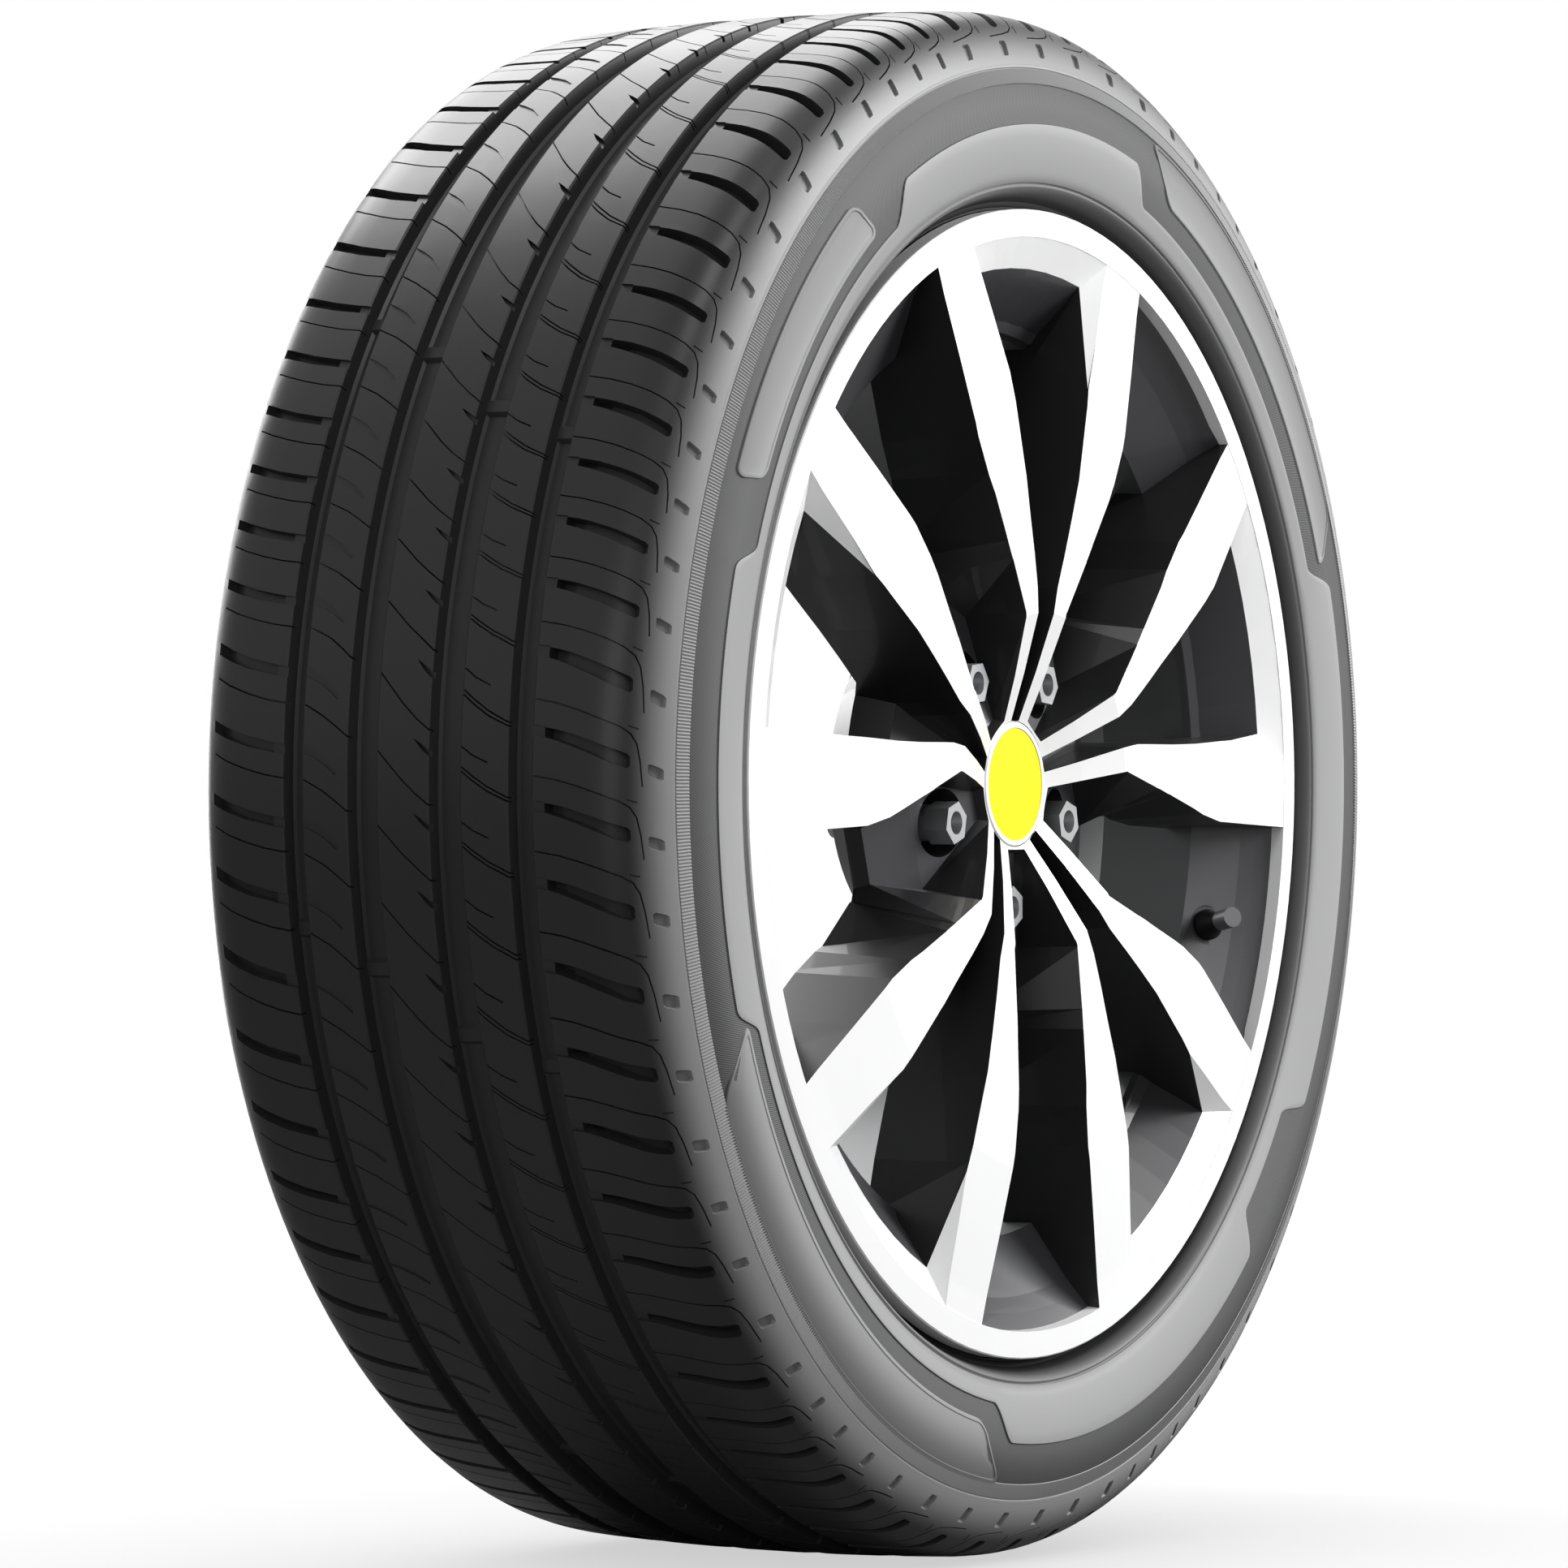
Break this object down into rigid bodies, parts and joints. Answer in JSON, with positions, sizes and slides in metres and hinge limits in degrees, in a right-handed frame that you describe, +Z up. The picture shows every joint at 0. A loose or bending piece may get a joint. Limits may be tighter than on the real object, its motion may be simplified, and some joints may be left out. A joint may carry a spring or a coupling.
{
  "type": "wheel and tyre assembly",
  "caption": "Road tyre with a grooved tread and decorated sidewall, mounted on an alloy wheel with paired turned blades, bolts, centre cap and valve.",
  "frame": {"origin": "centre of the tyre, on the spin axis at the middle of its width", "axes": "+Y is the spin axis and points to the car, so the outer face looks to -Y; +Z is up and +X is to the right seen from outside"},
  "size_m": [0.7029, 0.243, 0.703],
  "materials": {
    "tyre_rubber": "moulded rubber, satin on the sidewall",
    "wheel_alloy": "turned bright faces over gloss black paint",
    "cap_ring": "bright ring",
    "cap_yellow": "gloss",
    "bolt_steel": "zinc plated",
    "valve_rubber": "moulded",
    "valve_brass": "machined",
    "valve_cap": "moulded"
  },
  "bodies": {
    "root": {"tyre": "tyre_rubber", "wheel": "wheel_alloy", "centre_cap": "cap_ring", "cap_disc": "cap_yellow", "wheel_bolt_1": "bolt_steel", "wheel_bolt_2": "bolt_steel", "wheel_bolt_3": "bolt_steel", "wheel_bolt_4": "bolt_steel", "wheel_bolt_5": "bolt_steel", "valve_stem": "valve_rubber", "valve_core": "valve_brass", "valve_cap": "valve_cap"}
  },
  "joints": []
}
